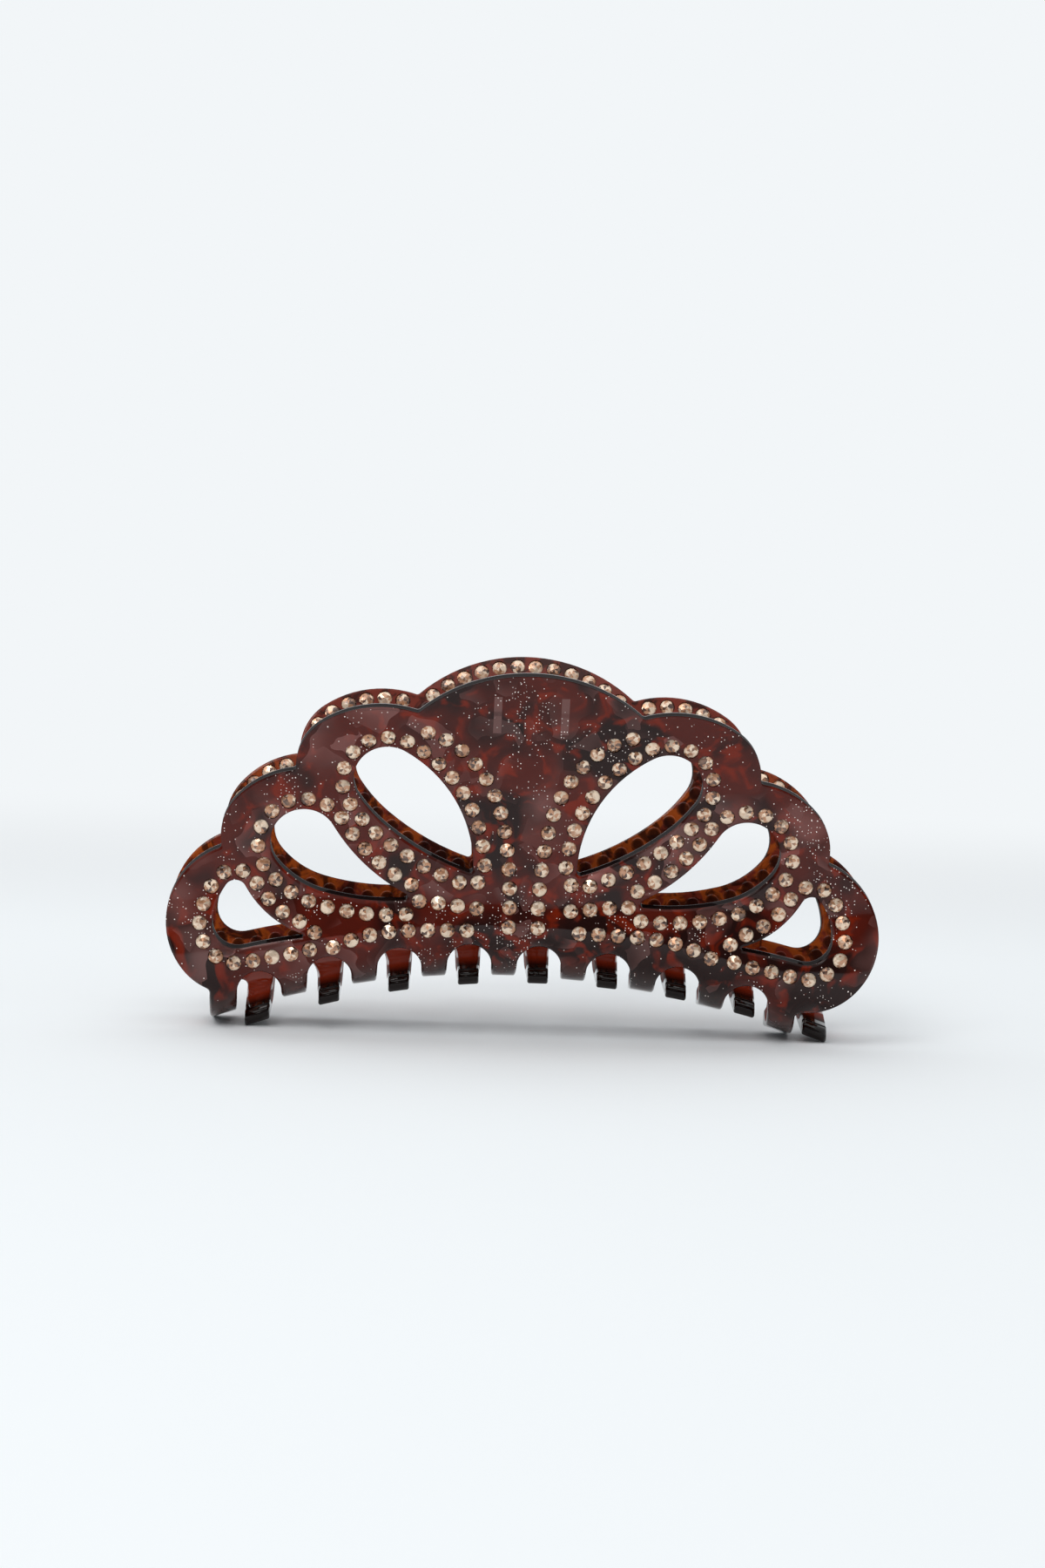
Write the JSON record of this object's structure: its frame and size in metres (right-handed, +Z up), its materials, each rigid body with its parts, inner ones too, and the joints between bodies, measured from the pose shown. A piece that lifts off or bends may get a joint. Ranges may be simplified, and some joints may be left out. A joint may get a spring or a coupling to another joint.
{
  "type": "claw hair clip",
  "caption": "Large claw hair clip of brown pearl and tortoise acetate, with pointed openings, curled teeth and rows of champagne stones",
  "frame": {"origin": "centre of the bottom of the bounding box, on the floor under the tooth tips", "axes": "+X along the clip from end to end, +Y from the front jaw to the back jaw, +Z up"},
  "size_m": [0.1116, 0.0418, 0.0581],
  "materials": {
    "acetate": "polished pearl and tortoise acetate with fine glitter",
    "stones": "faceted champagne stones with foil backs",
    "hinge_metal": "satin steel",
    "spring_wire": "drawn spring wire"
  },
  "bodies": {
    "front": {"front_jaw": "acetate", "front_face_stones": "stones", "front_rim_stones": "stones", "front_bracket": "hinge_metal", "hinge_pin": "hinge_metal", "spring_coil": "spring_wire"},
    "back": {"back_jaw": "acetate", "back_rim_stones": "stones", "back_bracket": "hinge_metal", "spring_back_leg": "spring_wire"}
  },
  "joints": [
    {"name": "jaw_hinge", "type": "hinge", "parent": "front", "child": "back", "pos_m": [0, 0, 0.03576], "axis": [1, 0, 0], "range_deg": [0, 60], "stiffness_Nm_per_rad": 0.05, "springref_deg": -68.75}
  ]
}
